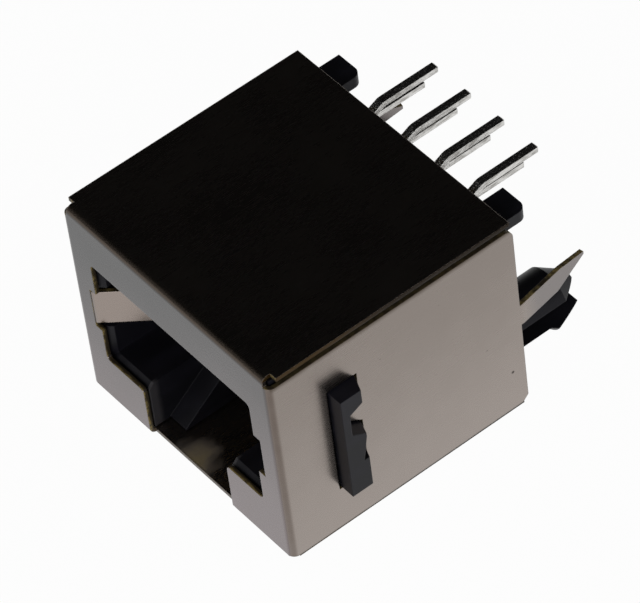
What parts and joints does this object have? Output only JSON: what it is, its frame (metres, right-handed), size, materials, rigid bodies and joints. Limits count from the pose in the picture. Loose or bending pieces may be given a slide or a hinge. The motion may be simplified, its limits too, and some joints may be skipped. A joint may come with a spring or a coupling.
{
  "type": "modular jack for circuit boards",
  "caption": "Shielded vertical board jack: folded metal can around a black housing with a plug port, spring contacts, staggered solder tails, split pegs and ground tabs.",
  "frame": {"origin": "on the board's surface, midway between the two board pegs", "axes": "+X across the port, +Y into the board, +Z away from the latch side; it lies on its latch side"},
  "size_m": [0.018, 0.0199, 0.0133],
  "materials": {
    "shield": "satin nickel plate on brass sheet",
    "housing": "moulded black, fine matt",
    "insert": "moulded black, fine matt",
    "contact": "tinned tails and gold-flashed springs"
  },
  "bodies": {
    "root": {"shield": "shield", "housing": "housing", "contact_insert": "insert", "contact_1": "contact", "contact_2": "contact", "contact_3": "contact", "contact_4": "contact", "contact_5": "contact", "contact_6": "contact", "contact_7": "contact", "contact_8": "contact"}
  },
  "joints": []
}
